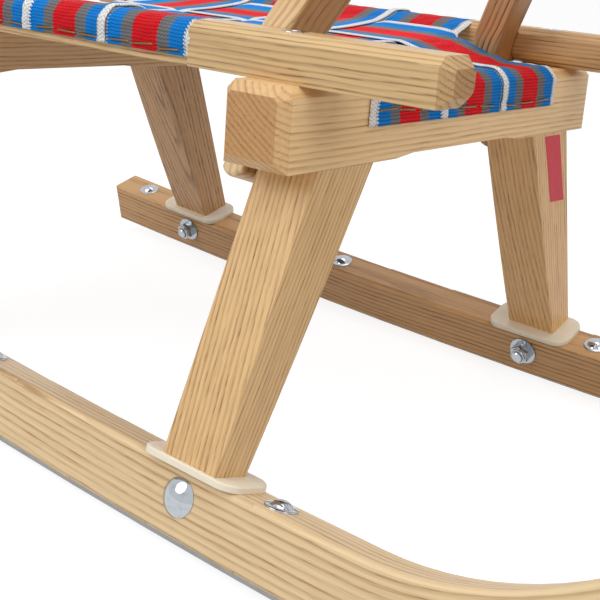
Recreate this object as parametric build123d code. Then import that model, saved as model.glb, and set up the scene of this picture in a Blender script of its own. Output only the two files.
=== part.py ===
from build123d import *
from math import asin, atan, cos, degrees, radians, sin, sqrt, tan
import os

# Wooden snow sled with horned runners. Lengths are in millimetres, angles in degrees.
# It is drawn in the seat's frame: x = 0 at the front face of the front cross-beam, +X forward,
# y = 0 on the centre line, +Y to the sled's left, z = 0 at the underside of the cross-beams.
# The last lines tip it nose up by a few degrees, so that it stands on its curved runners as it parks.

clearance = 0.3                # air between a soft strap or a loose fit and its neighbour
seat_gap = 0.05                # a flat piece stands this far off the runner's hollow upper face
overrun = 5.0                  # how far a cutting solid runs past what it cuts

# Cross-beams
beam_length = 325.5
beam_depth = 42.2
beam_height = 42.0
beam_end_chamfer = 5.2
beam_spacing = 351.6           # front face of one beam to front face of the next
beam_relief = 2.0              # shallow arch planed out of the underside
beam_relief_length = 136.0
beam_relief_run = 17.0         # length of the ramp at each end of the arch
beam_lip = 5.0                 # flat along both top edges; the straps bend over the outer one

# Side rails
rail_width = 27.9
rail_height = 23.9
rail_chamfer = 4.8
rail_round = 10.5              # the inner lower edge is rounded over
rail_end_chamfer = 5.4
rail_span = 296.6              # over the outer faces
rail_front = 78.2              # overhang past the front beam
rail_rear = 78.2               # overhang past the rear beam

# Runners and horns, drawn in a plane that leans inwards at the top
lean = 17.5
runner_width = 28.0
runner_wood = 36.0             # height of the wood above the steel
runner_span = 403.0            # over the outer lower edges
runner_drop = 191.9            # from the seat frame's zero to that edge at its lowest
rocker_radius = 6270.0
rocker_low = 154.0             # where the rocker is lowest in the seat's frame
rest_x = -115.0                # where the standing sled touches the ground
runner_rear = -474.0
runner_edge = 2.5              # rounding of the long edges
nose_start = 80.0              # where the rocker passes into the nose
nose_radius = 195.0
nose_heading = 110.0           # direction of the bar after the nose, from forward
crown_heading = 243.0          # and after the crown
horn_thick = 19.0
tail_radius = 50.0
tail_thick = 15.0
tail_top = 43.0                # height at which the tail becomes upright
tail_end = -10.5
tail_tip = 4.5                 # how far the end of the tail is rounded out

# Steel strips under the runners
strip_thick = 3.0
strip_width = 18.0

# Legs
leg_depth = 37.0
leg_rake = 1.9
leg_top_outer_reach = 134.7
leg_top_inner_reach = 90.0
leg_foot_outer_reach = 190.5
leg_foot_inner_reach = 166.0
leg_foot_level = -149.0        # where the two foot widths are taken
leg_bow = 3.0                  # how far the inner edge bows out from straight

# Foot plates
plate_thick = 3.7
plate_length = 66.0
plate_outer_lip = 5.0          # how far the plate stands out past the runner
plate_inner_lip = 2.5
plate_corner = 11.0
plate_edge = 0.8
plate_setback = 25.0           # the plate's centre behind the beam's front face

# Webbing seat
strap_thick = 1.8
strap_width = 60.5
strap_pitch = 66.0
strap_bend = 2.0               # inner radius where a strap bends over an edge
strap_slack = 2.2              # and where it passes over and under the others
strap_hem = 19.5               # height of the lower hems on the beams
rail_hem = 46.5                # and on the rails
weave_level = 52.0
long_straps = 3
cross_straps = 4
long_centre = 5.5              # the lengthwise straps lie a little to the left
cross_first = -113.0           # middle of the first crosswise strap

# Bolts
cup_head = 20.65
cup_height = 4.6
cup_rim = 0.4
cup_shank = 8.0
cup_rise = 24.5                # height of the bolt above the runner's lower edge
cup_setback = 26.5
washer_size = 21.0
washer_thick = 1.6
nut_flats = 13.0
nut_thick = 8.0
thread_end = 2.0
pan_head = 16.0
pan_height = 3.6
pan_rim = 0.9
pan_shank = 6.0
strip_bolt_places = [26.2, -209.0, -441.5]
strip_bolt_relief = 0.6        # the shank ends this far above the steel's lower face
rail_bolt_depth = 24.0
horn_bolt_depth = 22.0
horn_bolt_level = 21.0

# Worked out from the sizes above
rail_outer = rail_span / 2
rail_top = beam_height + rail_height
rebate = strap_thick + clearance
strap_step = (strap_thick + clearance) / 2
cross_places = [cross_first - i * strap_pitch for i in range(cross_straps)]
long_places = [long_centre + (i - (long_straps - 1) / 2) * strap_pitch for i in range(long_straps)]
rebate_front = cross_places[0] + strap_pitch / 2
rebate_rear = cross_places[-1] - strap_pitch / 2
runner_height = runner_wood + strip_thick
rocker_top = rocker_radius - runner_height
lean_sin = sin(radians(lean))
lean_cos = cos(radians(lean))
beam_fronts = {"front": 0.0, "rear": -beam_spacing}
bores = cup_shank + 2 * clearance
pan_bores = pan_shank + 2 * clearance

# The runner's own plane on the left: x forward, y up the leaning face, z inwards from the outer face
runner_plane = Plane(
    origin=(0, runner_span / 2, -runner_drop),
    x_dir=(1, 0, 0),
    z_dir=(0, -lean_cos, -lean_sin),
)


def rise(drop):
    """Distance up the leaning face to a height in the seat's frame."""
    return (drop + runner_drop) / lean_cos


horn_middle = runner_width / 2
horn_bolt_rise = rise(horn_bolt_level + horn_middle * lean_sin)
horn_bolt_spot = (runner_span / 2 - horn_bolt_rise * lean_sin - horn_middle * lean_cos, horn_bolt_level)


def rocker_point(x, radius):
    """Point and heading on an arc about the rocker's centre, at the station x."""
    heading = degrees(asin((x - rocker_low) / radius))
    return (x, rocker_radius - radius * cos(radians(heading))), heading


def bend(point, radius, start, end):
    """End of a left-hand arc that turns from one heading to another."""
    a = radians(start)
    b = radians(end)
    return (point[0] + radius * (sin(b) - sin(a)), point[1] + radius * (cos(a) - cos(b)))


def outside(point, heading, thickness):
    """Point across the bar, on its convex face."""
    a = radians(heading)
    return (point[0] + thickness * sin(a), point[1] - thickness * cos(a))


def bend_edge(point, radius, start, end):
    middle = bend(point, radius, start, (start + end) / 2)
    return ThreePointArc(point, middle, bend(point, radius, start, end))


# Share of the nose's turn, share of the way from runner thickness to horn thickness
nose_shares = [(0.6, 0.45), (1.0, 0.85)]


def horn_line():
    """Edges of the concave face, and each joint's point, heading and bar thickness."""
    point, heading = rocker_point(runner_rear, rocker_top)
    nose, nose_from = rocker_point(nose_start, rocker_top)
    edges = [bend_edge(point, rocker_top, heading, nose_from)]
    joints = [(point, heading, runner_wood), (nose, nose_from, runner_wood)]
    turn = nose_heading - nose_from
    for turn_share, taper_share in nose_shares:
        point, heading, _ = joints[-1]
        onward = nose_from + turn * turn_share
        edges.append(bend_edge(point, nose_radius, heading, onward))
        thickness = runner_wood + (horn_thick - runner_wood) * taper_share
        joints.append((bend(point, nose_radius, heading, onward), onward, thickness))
    # The crown's radius and the straight behind it close the loop on the tail
    tail = (-beam_depth - clearance, rise(tail_top))
    tail_from = bend(tail, -tail_radius, crown_heading, 270)
    start = joints[-1][0]
    a = radians(nose_heading)
    b = radians(crown_heading)
    span = (tail_from[0] - start[0], tail_from[1] - start[1])
    crown = (sin(b) - sin(a), cos(a) - cos(b))
    straight = (cos(b), sin(b))
    area = crown[0] * straight[1] - crown[1] * straight[0]
    crown_radius = (span[0] * straight[1] - span[1] * straight[0]) / area
    crown_end = bend(start, crown_radius, nose_heading, crown_heading)
    edges.append(bend_edge(start, crown_radius, nose_heading, crown_heading))
    joints.append((crown_end, crown_heading, horn_thick))
    edges.append(Line(crown_end, tail_from))
    joints.append((tail_from, crown_heading, horn_thick))
    edges.append(bend_edge(tail_from, tail_radius, crown_heading, 270))
    joints.append((tail, 270, tail_thick))
    foot = (tail[0], rise(tail_end) + tail_tip)
    edges.append(Line(tail, foot))
    joints.append((foot, 270, tail_thick))
    return edges, joints


def outer_line(joints):
    """Edges of the convex face, each tangent to the one before."""
    places = [outside(*joint) for joint in joints]
    heading = radians(joints[0][1])
    edges = []
    tangent = (cos(heading), sin(heading))
    for start, end in zip(places, places[1:]):
        edges.append(TangentArc(start, end, tangent=tangent))
        tangent = edges[-1] % 1
    return edges


def on_runner(x, up, across):
    """Plane at a place on the left runner, its x along the bar and its z up the leaning face."""
    point, heading = rocker_point(x, rocker_radius - up)
    a = radians(heading)
    along = runner_plane.from_local_coords(Vector(cos(a), sin(a), 0)) - runner_plane.origin
    upward = runner_plane.from_local_coords(Vector(-sin(a), cos(a), 0)) - runner_plane.origin
    origin = runner_plane.from_local_coords(Vector(point[0], point[1], across))
    return Plane(origin=origin, x_dir=along, z_dir=upward)


def across_runner(x, up):
    """Plane on the left runner's outer face, its z pointing outwards."""
    foot = on_runner(x, up, 0)
    return Plane(origin=foot.origin, x_dir=foot.x_dir, z_dir=(0, lean_cos, lean_sin))


def rod(size, start, end):
    """Round bar along z."""
    return Pos(0, 0, start) * extrude(Circle(size / 2), end - start)


def dome(size, height, rim):
    """Low domed head on a thin rim, standing on z = 0."""
    rise_over_rim = height - rim
    radius = ((size / 2) ** 2 + rise_over_rim ** 2) / (2 * rise_over_rim)
    cap = Pos(0, 0, height - radius) * Sphere(radius)
    return rod(size, 0, rim) + (cap & rod(size, rim, height))


# Cross-beams
def cross_beam():
    """The front beam. The rear one is its mirror image."""
    beam = Pos(-beam_depth / 2, 0, beam_height / 2) * Box(beam_depth, beam_length, beam_height)
    beam = chamfer(beam.edges().filter_by(Axis.Y).group_by(Axis.Z)[-1], beam_lip)
    ends = beam.faces().sort_by(Axis.Y)
    beam = chamfer([*ends[0].edges(), *ends[-1].edges()], beam_end_chamfer)
    half = beam_relief_length / 2
    flat = half - beam_relief_run
    arch = Plane.YZ * make_face([
        Line((-half, -overrun), (-half, 0)),
        Line((-half, 0), (-flat, beam_relief)),
        Line((-flat, beam_relief), (flat, beam_relief)),
        Line((flat, beam_relief), (half, 0)),
        Line((half, 0), (half, -overrun)),
        Line((half, -overrun), (-half, -overrun)),
    ])
    beam -= Pos(-beam_depth - overrun, 0, 0) * extrude(arch, beam_depth + 2 * overrun, dir=(1, 0, 0))
    for way in (1, -1):
        bolt_y = way * (rail_outer - rail_width / 2)
        bore = rod(pan_bores, beam_height - rail_bolt_depth, beam_height + overrun)
        beam -= Pos(-beam_depth / 2, bolt_y, 0) * bore
        face = Plane(origin=(-beam_depth, way * horn_bolt_spot[0], horn_bolt_spot[1]), z_dir=(1, 0, 0))
        beam -= face * rod(pan_bores, -overrun, horn_bolt_depth)
    return beam


def rail_section(inset):
    """Section of the left rail, with its top and outer faces set back by the inset."""
    width = rail_width - inset
    height = rail_height - inset
    block = Rectangle(width, height, align=(Align.MIN, Align.MIN))
    block = chamfer(block.vertices().group_by(Axis.Y)[-1], rail_chamfer)
    corner = block.vertices().group_by(Axis.Y)[0].sort_by(Axis.X)[0]
    block = fillet(corner, rail_round)
    return Plane.YZ * Pos(rail_outer - rail_width, beam_height) * block


def side_rail(horn_room):
    """Left rail, rebated for the crosswise straps and let in round the horn."""
    rear = -beam_spacing - beam_depth - rail_rear
    rail = Pos(rear, 0, 0) * extrude(rail_section(0), rail_front - rear, dir=(1, 0, 0))
    for end in (rail.faces().sort_by(Axis.X)[0], rail.faces().sort_by(Axis.X)[-1]):
        upper = end.edges().filter_by(lambda edge: edge.center().Z > beam_height + rail_height / 3)
        rail = chamfer(upper, rail_end_chamfer)
    length = rebate_front - rebate_rear
    waste = extrude(rail_section(0), length, dir=(1, 0, 0)) - extrude(rail_section(rebate), length, dir=(1, 0, 0))
    rail -= Pos(rebate_rear, 0, 0) * waste
    rail -= horn_room
    bore = rod(pan_bores, beam_height - overrun, rail_top + overrun)
    for front in beam_fronts.values():
        rail -= Pos(front - beam_depth / 2, rail_outer - rail_width / 2, 0) * bore
    return rail


def plate_place(front):
    """Plane on top of the left runner under a leg."""
    return on_runner(front - plate_setback, runner_height + 3 * seat_gap, 0)


def foot_plate(front):
    """Rounded plate between a left leg and the runner."""
    width = runner_width + plate_outer_lip + plate_inner_lip
    shape = RectangleRounded(plate_length, width, plate_corner)
    plate = extrude(shape, plate_thick)
    plate = chamfer(plate.faces().sort_by(Axis.Z)[-1].edges(), plate_edge)
    middle = (width / 2 - plate_outer_lip)
    return plate_place(front) * Pos(0, -middle, 0) * plate


def leg(front):
    """Left leg, splayed outwards and raked back a little, cut to the beam and to its plate."""
    fall = -leg_foot_level
    outer_slope = (leg_foot_outer_reach - leg_top_outer_reach) / fall
    inner_slope = (leg_foot_inner_reach - leg_top_inner_reach) / fall
    over = beam_height
    base = leg_foot_level - over
    inner_top = (leg_top_inner_reach - inner_slope * over, over)
    inner_foot = (leg_foot_inner_reach + inner_slope * over, base)
    bow = ((inner_top[0] + inner_foot[0]) / 2 - leg_bow, (inner_top[1] + inner_foot[1]) / 2)
    outline = Plane.YZ * make_face([
        Line((leg_top_outer_reach - outer_slope * over, over), (leg_foot_outer_reach + outer_slope * over, base)),
        Line((leg_foot_outer_reach + outer_slope * over, base), inner_foot),
        ThreePointArc(inner_foot, bow, inner_top),
        Line(inner_top, (leg_top_outer_reach - outer_slope * over, over)),
    ])
    post = Pos(-leg_depth, 0, 0) * extrude(outline, leg_depth, dir=(1, 0, 0))
    post = Rot(0, leg_rake, 0) * post
    post = split(post, Plane.XY, keep=Keep.BOTTOM)
    seat = plate_place(front)
    top = Plane(origin=seat.origin + seat.z_dir * plate_thick, x_dir=seat.x_dir, z_dir=seat.z_dir)
    return split(Pos(front, 0, 0) * post, top, keep=Keep.TOP)


# Runners, horns and their steel
def runner_outline(edges, outer, joints):
    """Side view of the runner and its horn, one bent bar."""
    foot_in = joints[-1][0]
    foot_out = outside(*joints[-1])
    tip = ((foot_in[0] + foot_out[0]) / 2, foot_in[1] - tail_tip)
    rear_in = joints[0][0]
    rear_out = outside(*joints[0])
    return make_face([
        *edges,
        ThreePointArc(foot_in, tip, foot_out),
        *outer,
        Line(rear_out, rear_in),
    ])


def runner(outline):
    """Left runner, with its long edges rounded."""
    bar = extrude(outline, runner_width)
    sides = bar.faces().filter_by(Axis.Z)
    return fillet([edge for side in sides for edge in side.edges()], runner_edge)


def strip(outer):
    """Steel strip on the convex face, from the rear end to the nose."""
    covered = Wire(outer[:len(nose_shares)])
    band = Face(covered.offset_2d(strip_thick, Kind.INTERSECTION, side=Side.RIGHT, closed=True))
    inset = (runner_width - strip_width) / 2
    return Pos(0, 0, inset) * extrude(band, strip_width, dir=(0, 0, 1))


# Bolts
def pan_bolt(reach):
    return dome(pan_head, pan_height, pan_rim) + rod(pan_shank, -reach, 0)


def cup_bolt():
    reach = runner_width + washer_thick + nut_thick + thread_end
    return dome(cup_head, cup_height, cup_rim) + rod(cup_shank, -reach, 0)


def washer():
    ring = extrude(Circle(washer_size / 2) - Circle(bores / 2), washer_thick)
    return Pos(0, 0, -runner_width - washer_thick) * ring


def nut():
    hexagon = RegularPolygon(nut_flats / 2, 6, major_radius=False)
    ring = extrude(hexagon - Circle(bores / 2), nut_thick)
    return Pos(0, 0, -runner_width - washer_thick - nut_thick) * ring


# Straps
def ribbon(points, radii, plane, middle, width):
    """Flat strap whose lower face follows a line of straight runs and small bends."""
    path = FilletPolyline(*points, radius=radii).wire()
    outline = path.offset_2d(strap_thick, Kind.INTERSECTION, side=Side.RIGHT, closed=True)
    band = extrude(plane * Face(outline), width / 2, both=True)
    return Pos(*middle) * band


def weave(places, first_over):
    """Places along a strap where it passes over and under the others, with their levels."""
    reach = strap_width / 2 + clearance
    points = []
    over = first_over
    for place in places:
        level = weave_level - strap_thick / 2 + (strap_step if over else -strap_step)
        points += [(place + reach, level), (place - reach, level)]
        over = not over
    return points


def long_strap(index, horns):
    """Lengthwise strap, from the front beam's front face to the rear beam's rear face."""
    lip = clearance * (sqrt(2) - 1)
    top = beam_height + clearance
    front = [
        (clearance, strap_hem),
        (clearance, beam_height - beam_lip + lip),
        (-beam_lip + lip, top),
        (-beam_depth, top),
    ]
    rear_face = -beam_spacing - beam_depth
    rear = [(rear_face - x, z) for x, z in reversed(front)]
    middle = weave(cross_places, index % 2 == 0)
    points = front + middle + rear
    radii = [strap_bend] * 2 + [strap_slack] * (len(points) - 6) + [strap_bend] * 2
    return ribbon(points, radii, Plane.XZ, (0, long_places[index], 0), strap_width) - horns


def cross_strap(index):
    """Crosswise strap, over both rails and down their outer faces."""
    lip = strap_thick * (2 - sqrt(2))
    top = rail_top - strap_thick
    side = [
        (rail_outer - strap_thick, rail_hem),
        (rail_outer - strap_thick, rail_top - rail_chamfer - strap_thick + lip),
        (rail_outer - rail_chamfer - strap_thick + lip, top),
        (rail_outer - rail_width + rail_chamfer, top),
    ]
    other = [(-y, z) for y, z in reversed(side)]
    middle = weave(list(reversed(long_places)), index % 2 == 1)
    points = side + middle + other
    radii = [strap_bend] * 2 + [strap_slack] * (len(points) - 6) + [strap_bend] * 2
    return ribbon(points, radii, Plane.YZ, (cross_places[index], 0, 0), strap_width)


nodes = {}
edges, joints = horn_line()
outer = outer_line(joints)
outline = runner_outline(edges, outer, joints)
bar = runner_plane * runner(outline)
room = extrude(offset(outline, clearance), runner_width + 2 * clearance)
horn_room = runner_plane * Pos(0, 0, -clearance) * room
horn_rooms = horn_room + mirror(horn_room, about=Plane.XZ)
horn_x = -beam_depth - clearance - tail_thick
horn_bolt_place = Plane(origin=(horn_x, *horn_bolt_spot), z_dir=(-1, 0, 0))
steel = runner_plane * strip(outer)

left = {}
left["side_rail"] = side_rail(horn_room)
left["horn_bolt"] = horn_bolt_place * pan_bolt(tail_thick + clearance + horn_bolt_depth - overrun)
bar -= horn_bolt_place * rod(pan_bores, -tail_thick - overrun, overrun)

for end, front in beam_fronts.items():
    left[f"leg_{end}"] = leg(front)
    left[f"foot_plate_{end}"] = foot_plate(front)
    place = across_runner(front - cup_setback, cup_rise)
    bar -= place * rod(bores, -runner_width - overrun, overrun)
    left[f"cup_bolt_{end}"] = place * cup_bolt()
    left[f"washer_{end}"] = place * washer()
    left[f"nut_{end}"] = place * nut()
    rail_place = Pos(front - beam_depth / 2, rail_outer - rail_width / 2, rail_top)
    left[f"rail_bolt_{end}"] = rail_place * pan_bolt(rail_height + rail_bolt_depth - overrun)

strip_bolts = []
for x in strip_bolt_places:
    place = on_runner(x, runner_height + seat_gap, runner_width / 2)
    bore = place * rod(pan_bores, -runner_height - overrun, overrun)
    bar -= bore
    steel -= bore
    strip_bolts.append(place * pan_bolt(runner_height - strip_bolt_relief))
left["strip_bolts"] = Compound(strip_bolts)
left["runner"] = bar
left["runner_strip"] = steel

for name, shape in left.items():
    nodes[f"{name}_left"] = shape
    nodes[f"{name}_right"] = mirror(shape, about=Plane.XZ)

beam = cross_beam()
nodes["cross_beam_front"] = beam
nodes["cross_beam_rear"] = Pos(-beam_spacing - beam_depth, 0, 0) * mirror(beam, about=Plane.YZ)

for index in range(long_straps):
    nodes[f"long_strap_{index + 1}"] = long_strap(index, horn_rooms)
for index in range(cross_straps):
    nodes[f"cross_strap_{index + 1}"] = cross_strap(index)

# The standing sled leans back until its lowest point lies under its weight
contact = asin((rest_x - rocker_low) / rocker_radius)
pitch = degrees(atan(-tan(contact) * lean_cos))
tip_up = Rot(0, -pitch, 0)
box = Compound([tip_up * shape for shape in nodes.values()]).bounding_box()
stand = Pos(-box.center().X, 0, -box.min.Z) * tip_up

os.makedirs("parts", exist_ok=True)
for name, shape in nodes.items():
    export_step(stand * shape, f"parts/{name}.step")
print(f"{len(nodes)} nodes, pitch {pitch:.2f} degrees, box {box.size}")
print(f"seat frame zero at x {-box.center().X:.3f}, z {-box.min.Z:.3f}")
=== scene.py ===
import math
import random

import bmesh
import bpy
import numpy as np
from mathutils import Matrix, Vector


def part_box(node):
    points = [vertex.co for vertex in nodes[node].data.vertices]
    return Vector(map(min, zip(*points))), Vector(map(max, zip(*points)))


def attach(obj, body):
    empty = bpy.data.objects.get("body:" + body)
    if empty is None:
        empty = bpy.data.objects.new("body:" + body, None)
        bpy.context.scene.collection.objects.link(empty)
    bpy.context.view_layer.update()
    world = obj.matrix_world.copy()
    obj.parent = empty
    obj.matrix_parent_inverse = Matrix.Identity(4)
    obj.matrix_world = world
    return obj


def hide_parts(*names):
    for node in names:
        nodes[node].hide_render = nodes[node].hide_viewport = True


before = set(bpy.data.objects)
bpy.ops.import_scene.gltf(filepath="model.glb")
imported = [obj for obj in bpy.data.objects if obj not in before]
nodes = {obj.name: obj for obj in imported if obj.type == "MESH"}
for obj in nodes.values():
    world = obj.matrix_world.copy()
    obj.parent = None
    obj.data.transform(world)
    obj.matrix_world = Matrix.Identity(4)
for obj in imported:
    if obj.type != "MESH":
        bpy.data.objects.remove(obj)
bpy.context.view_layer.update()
print("frame loaded:", len(nodes), "nodes")

# Places below are in millimetres in the seat's frame, as in the part's source:
# x = 0 at the front face of the front cross-beam, z = 0 at the beams' underside, +Y to the sled's left
mm = 0.001
seat = {"pitch": 2.3453, "x": 86.750, "z": 197.854}
seatToRow = Matrix.Translation((seat["x"], 0, seat["z"])) @ Matrix.Rotation(-math.radians(seat["pitch"]), 4, "Y")
lean = math.radians(17.5)
sides = {"left": 1, "right": -1}


def place(x, y, z):
    return (seatToRow @ Vector((x, y, z))) * mm


def turn(x, y, z):
    return seatToRow.to_3x3() @ Vector((x, y, z))


def addObject(name, data):
    made = bpy.data.objects.new(name, data)
    bpy.context.scene.collection.objects.link(made)
    return made


def smooth(t):
    t = np.clip(t, 0.0, 1.0)
    return t * t * (3 - 2 * t)


# The camera stands at the sled's front right, a little above the seat
cameraView = {
    "place": (334.142, -559.081, 106.853),
    "right": (0.789095, 0.608661, 0.082833),
    "up": (-0.218983, 0.152750, 0.963698),
    "back": (0.573912, -0.778588, 0.253821),
    "lens": 66.909,
    "shift": (-0.07757, -0.09546),
}


def makeCamera(view):
    data = bpy.data.cameras.new("sledCamera")
    data.lens = view["lens"]
    data.sensor_width = 36
    data.shift_x, data.shift_y = view["shift"]
    data.clip_start, data.clip_end = 0.02, 60
    camera = addObject("sledCamera", data)
    axes = Matrix([turn(*view[name]) for name in ("right", "up", "back")]).transposed()
    camera.matrix_world = Matrix.Translation(place(*view["place"])) @ axes.to_4x4()
    bpy.context.scene.camera = camera


makeCamera(cameraView)


# Short ways to add nodes to a material or a group
class Sketch:
    def __init__(self, tree):
        self.tree = tree

    def feed(self, sockets, values):
        for key, value in values.items():
            if isinstance(value, bpy.types.NodeSocket):
                self.tree.links.new(value, sockets[key])
            else:
                sockets[key].default_value = value

    def add(self, kind, inputs=(), **settings):
        made = self.tree.nodes.new(kind)
        for name, value in settings.items():
            setattr(made, name, value)
        self.feed(made.inputs, dict(inputs))
        return made

    def maths(self, operation, *values, clamp=False):
        return self.add("ShaderNodeMath", enumerate(values), operation=operation, use_clamp=clamp).outputs[0]

    def times(self, *values):
        return self.maths("MULTIPLY", *values)

    def plus(self, *values, **clamp):
        return self.maths("ADD", *values, **clamp)

    def minus(self, *values):
        return self.maths("SUBTRACT", *values)

    def timesPlus(self, *values, **clamp):
        return self.maths("MULTIPLY_ADD", *values, **clamp)

    def vector(self, operation, *values):
        made = self.add("ShaderNodeVectorMath", enumerate(values), operation=operation)
        return made.outputs["Value"] if operation in ("DOT_PRODUCT", "LENGTH", "DISTANCE") else made.outputs[0]

    def scaled(self, vector, x, y, z):
        return self.vector("MULTIPLY", vector, (x, y, z))

    def split(self, vector):
        return self.add("ShaderNodeSeparateXYZ", {0: vector}).outputs

    def join(self, x, y, z):
        return self.add("ShaderNodeCombineXYZ", {0: x, 1: y, 2: z}).outputs[0]

    def noise(self, vector, scale=1.0, detail=2.0, roughness=0.5):
        inputs = {"Vector": vector, "Scale": scale, "Detail": detail, "Roughness": roughness}
        return self.add("ShaderNodeTexNoise", inputs)

    def between(self, value, low, high, start=0.0, end=1.0):
        inputs = {0: value, 1: low, 2: high, 3: start, 4: end}
        return self.add("ShaderNodeMapRange", inputs, interpolation_type="SMOOTHSTEP").outputs[0]

    def mix(self, factor, first, second, blend="MIX"):
        inputs = {0: factor, 6: first, 7: second}
        return self.add("ShaderNodeMix", inputs, data_type="RGBA", blend_type=blend).outputs[2]

    def mixVector(self, factor, first, second):
        return self.add("ShaderNodeMix", {0: factor, 4: first, 5: second}, data_type="VECTOR").outputs[1]

    def ramp(self, factor, stops, interpolation="LINEAR"):
        made = self.add("ShaderNodeValToRGB", {0: factor})
        made.color_ramp.interpolation = interpolation
        while len(made.color_ramp.elements) < len(stops):
            made.color_ramp.elements.new(0.5)
        for element, (position, value) in zip(made.color_ramp.elements, stops):
            element.position = position
            element.color = value if hasattr(value, "__len__") else (value, value, value, 1)
        return made.outputs[0]

    def bump(self, strength, distance, height, **normal):
        inputs = {"Strength": strength, "Distance": distance, "Height": height, **normal}
        return self.add("ShaderNodeBump", inputs).outputs[0]

    def grown(self, vector, factor):
        return self.add("ShaderNodeVectorMath", {0: vector, 3: factor}, operation="SCALE").outputs[0]

    def group(self, tree, inputs):
        return self.add("ShaderNodeGroup", inputs, node_tree=tree).outputs

    def marks(self, scale):
        return self.group(speckleGroup, {"Spot": self.add("ShaderNodeTexCoord").outputs["Object"], "Scale": scale})


def paint(red, green, blue):
    shares = (red / 255, green / 255, blue / 255)
    return (*(c / 12.92 if c <= 0.04045 else ((c + 0.055) / 1.055) ** 2.4 for c in shares), 1.0)


def newGroup(name, inputs, outputs):
    tree = bpy.data.node_groups.new(name, "ShaderNodeTree")
    kinds = {"value": "NodeSocketFloat", "vector": "NodeSocketVector", "colour": "NodeSocketColor"}
    for label, kind in inputs:
        tree.interface.new_socket(label, in_out="INPUT", socket_type=kinds[kind])
    for label, kind in outputs:
        tree.interface.new_socket(label, in_out="OUTPUT", socket_type=kinds[kind])
    sketch = Sketch(tree)
    return tree, sketch, sketch.add("NodeGroupInput").outputs, sketch.add("NodeGroupOutput").inputs


def newMaterial(name, **constants):
    material = bpy.data.materials.new(name)
    material.use_nodes = True
    sketch = Sketch(material.node_tree)
    shader = material.node_tree.nodes["Principled BSDF"]
    for label, value in constants.items():
        shader.inputs[label.replace("_", " ")].default_value = value
    return material, sketch, shader


# Effects that more than one material uses
grain = {
    "seedWay": (0.731, 0.317, 0.571),  # way that each piece's seed moves it through the pattern
    "wander": (2.4, 1.2, 1.2),  # slow bends of the year rings: along, across, across
    "ripple": (16, 60, 60), "rippleDepth": 0.0022,
    "year": [(0.0, 0.55), (0.10, 1.0), (0.42, 0.22), (0.75, 0.0), (1.0, 0.25)],  # darkness across one ring
    "paleYear": 0.45,  # share of its darkness that the palest year keeps
    "pores": (55, 1500, 1500), "poreEdge": (0.51, 0.63), "latePores": 0.15,
    "fibres": (14, 620, 620), "tone": (3.0, 18, 18),
    "yearShare": 0.66, "poreShare": 0.55, "fibreShare": 0.75, "toneShare": 0.45,
    "rough": 0.40, "poreRough": 0.18, "endRough": 0.12,
    "poreDepth": -0.75, "yearDepth": -0.25,
    "endTint": paint(212, 192, 172),
}


def makeAshGroup():
    tree, s, given, out = newGroup(
        "ashGrain",
        [("Grain", "vector"), ("Pith", "vector"), ("Pitch", "value"), ("Seed", "value"), ("Drift", "value"),
         ("Light", "colour"), ("Dark", "colour"), ("End face", "value")],
        [("Color", "colour"), ("Roughness", "value"), ("Height", "value")],
    )
    g, middle = grain, (0.5, 0.5, 0.5)
    spot = s.vector("ADD", given["Grain"], s.grown(g["seedWay"], given["Seed"]))
    wander = s.vector("SUBTRACT", s.noise(s.scaled(spot, *g["wander"]), detail=1.0).outputs["Color"], middle)
    ripple = s.vector("SUBTRACT", s.noise(s.scaled(spot, *g["ripple"]), detail=2.0).outputs["Color"], middle)
    ripple = s.scaled(ripple, 0, g["rippleDepth"], g["rippleDepth"])
    fromPith = s.vector("SUBTRACT", given["Grain"], given["Pith"])
    ring = s.vector("ADD", fromPith, s.vector("ADD", s.grown(wander, given["Drift"]), ripple))
    phase = s.maths("DIVIDE", s.vector("LENGTH", s.scaled(ring, 0, 1, 1)), given["Pitch"])
    count = s.plus(s.maths("FLOOR", phase), given["Seed"])
    year = s.add("ShaderNodeTexWhiteNoise", {"W": count}, noise_dimensions="1D").outputs["Value"]
    early = s.ramp(s.maths("FRACT", phase), g["year"])
    early = s.times(early, s.timesPlus(year, 1 - g["paleYear"], g["paleYear"]))
    pores = s.noise(s.scaled(spot, *g["pores"]), detail=2.0).outputs[0]
    inEarly = s.timesPlus(early, 1 - g["latePores"], g["latePores"])
    pores = s.times(s.between(pores, *g["poreEdge"]), inEarly)
    fibres = s.noise(s.scaled(spot, *g["fibres"]), detail=3.0).outputs[0]
    tone = s.noise(s.scaled(spot, *g["tone"]), detail=2.0).outputs[0]
    dark = s.times(early, g["yearShare"])
    dark = s.timesPlus(pores, g["poreShare"], dark)
    dark = s.timesPlus(s.minus(fibres, 0.5), g["fibreShare"], dark)
    dark = s.timesPlus(s.minus(tone, 0.5), g["toneShare"], dark, clamp=True)
    colour = s.mix(dark, given["Light"], given["Dark"])
    browner = s.mix(1.0, colour, g["endTint"], "MULTIPLY")
    rough = s.timesPlus(pores, g["poreRough"], g["rough"])
    s.feed(out, {
        "Color": s.mix(given["End face"], colour, browner),
        "Roughness": s.timesPlus(given["End face"], g["endRough"], rough),
        "Height": s.timesPlus(pores, g["poreDepth"], s.times(early, g["yearDepth"])),
    })
    return tree


# The bent bar's side view in metres, from the front beam's face and the floor, in its own leaning plane
bentLine = {
    "rocker": (0.154, 6.270), "top": 6.231,  # centre of the rocker's arc, radius of the bar's top face
    "start": 0.080, "low": 0.12, "foremost": 0.04,  # where the nose begins, and what lies below and ahead
    "nose": (0.08231, 0.23443), "noseRadius": 0.195, "noseEnd": 110.0,
    "crown": (0.1231, 0.2492), "crownRadius": 0.1516, "crownEnd": 243.0, "crownTurn": 1.2,
    "tail": 0.2463, "tailFace": -0.0425, "tailReach": 0.33, "tailBlend": (-0.004, 0.034),
}


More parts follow.
